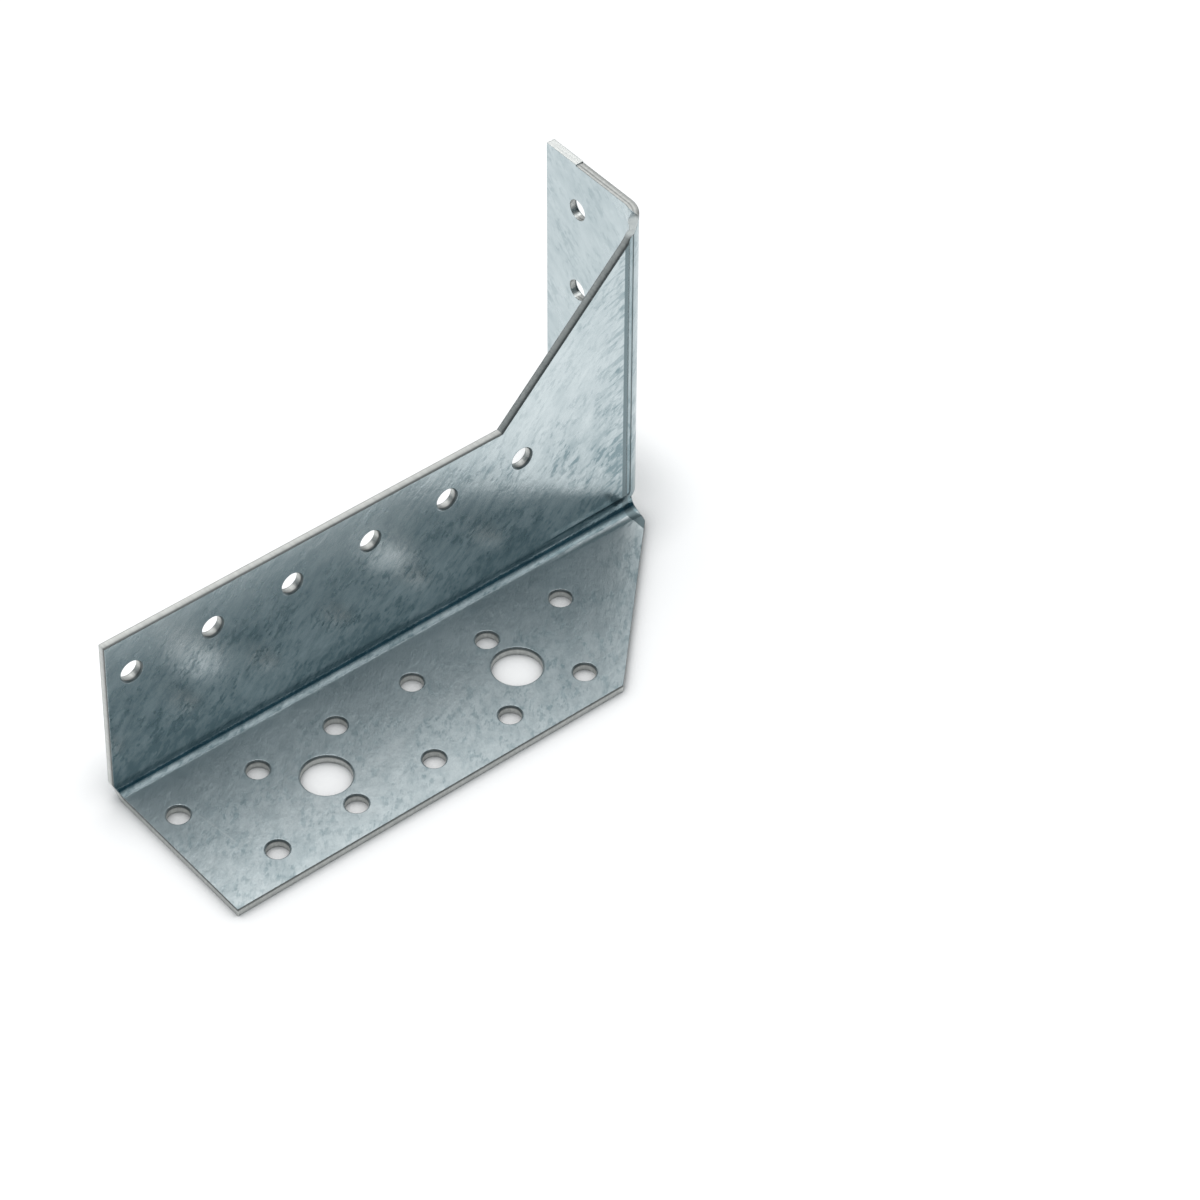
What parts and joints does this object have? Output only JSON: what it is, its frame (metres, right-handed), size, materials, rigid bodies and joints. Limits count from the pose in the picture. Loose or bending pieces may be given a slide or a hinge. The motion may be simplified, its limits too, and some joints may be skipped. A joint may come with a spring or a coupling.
{
  "type": "joist hanger",
  "caption": "One side of a split joist hanger: folded steel sheet with a bolted and nailed header flange, a flared cheek nailed to the joist, and a seat that the joist bears on.",
  "frame": {"origin": "midway between the two bolt holes, on the header flange's underside", "axes": "+X along the cheek from the open end to the seat, +Y from the header flange towards the seat, +Z away from the surface that the flange is fixed to"},
  "size_m": [0.1418, 0.0736, 0.0811],
  "materials": {
    "galvanised_steel": "galvanised, semi-matt, faintly spangled and brushed"
  },
  "bodies": {
    "root": {"hanger": "galvanised_steel"}
  },
  "joints": []
}
